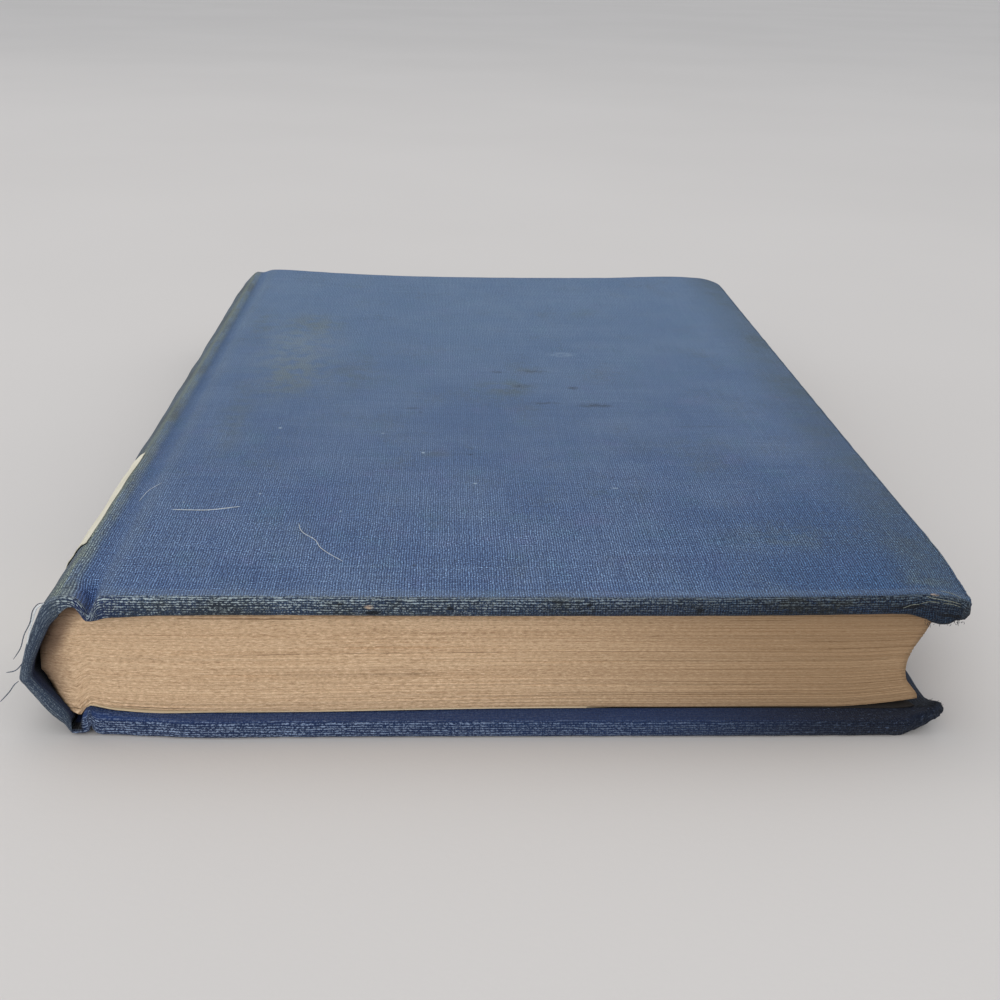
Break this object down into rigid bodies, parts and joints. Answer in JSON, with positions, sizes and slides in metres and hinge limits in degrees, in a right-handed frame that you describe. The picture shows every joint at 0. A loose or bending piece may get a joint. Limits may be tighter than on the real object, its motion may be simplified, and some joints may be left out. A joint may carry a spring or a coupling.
{
  "type": "hardback book",
  "caption": "Worn cloth-bound hardback book, lying closed: a rounded, backed block of pages in a hollow-backed case whose stiff covers hinge open.",
  "frame": {"origin": "on the table, under the middle of the closed book", "axes": "+Y runs from the tail of the book to its head, +X from the spine to the fore-edge, and +Z from the back cover to the front cover"},
  "size_m": [0.1334, 0.192, 0.0219],
  "materials": {
    "pages": "browned, uncoated, cut edges",
    "greyboard": "matt, fibrous",
    "book_cloth": "plain-weave book cloth, faded and rubbed",
    "manila_card": "matt",
    "gauze": "open weave, glued",
    "kraft_paper": "matt, glued",
    "endpaper": "toned, uncoated",
    "label_paper": "matt, torn at one end"
  },
  "bodies": {
    "book_block": {"text_block": "pages", "spine_cloth": "book_cloth", "spine_inlay": "manila_card", "mull": "gauze", "spine_lining": "kraft_paper", "front_flyleaf": "endpaper", "back_flyleaf": "endpaper", "spine_label": "label_paper"},
    "front_cover": {"front_board": "greyboard", "front_cover_cloth": "book_cloth", "front_mull_wing": "gauze", "front_pastedown": "endpaper"},
    "back_cover": {"back_board": "greyboard", "back_cover_cloth": "book_cloth", "back_mull_wing": "gauze", "back_pastedown": "endpaper"}
  },
  "joints": [
    {"name": "front_joint", "type": "hinge", "parent": "book_block", "child": "front_cover", "pos_m": [-0.0603, 0, 0.0202], "axis": [0, -1, 0], "range_deg": [0, 180]},
    {"name": "back_joint", "type": "hinge", "parent": "book_block", "child": "back_cover", "pos_m": [-0.0603, 0, 0.0015], "axis": [0, 1, 0], "range_deg": [0, 180]}
  ]
}
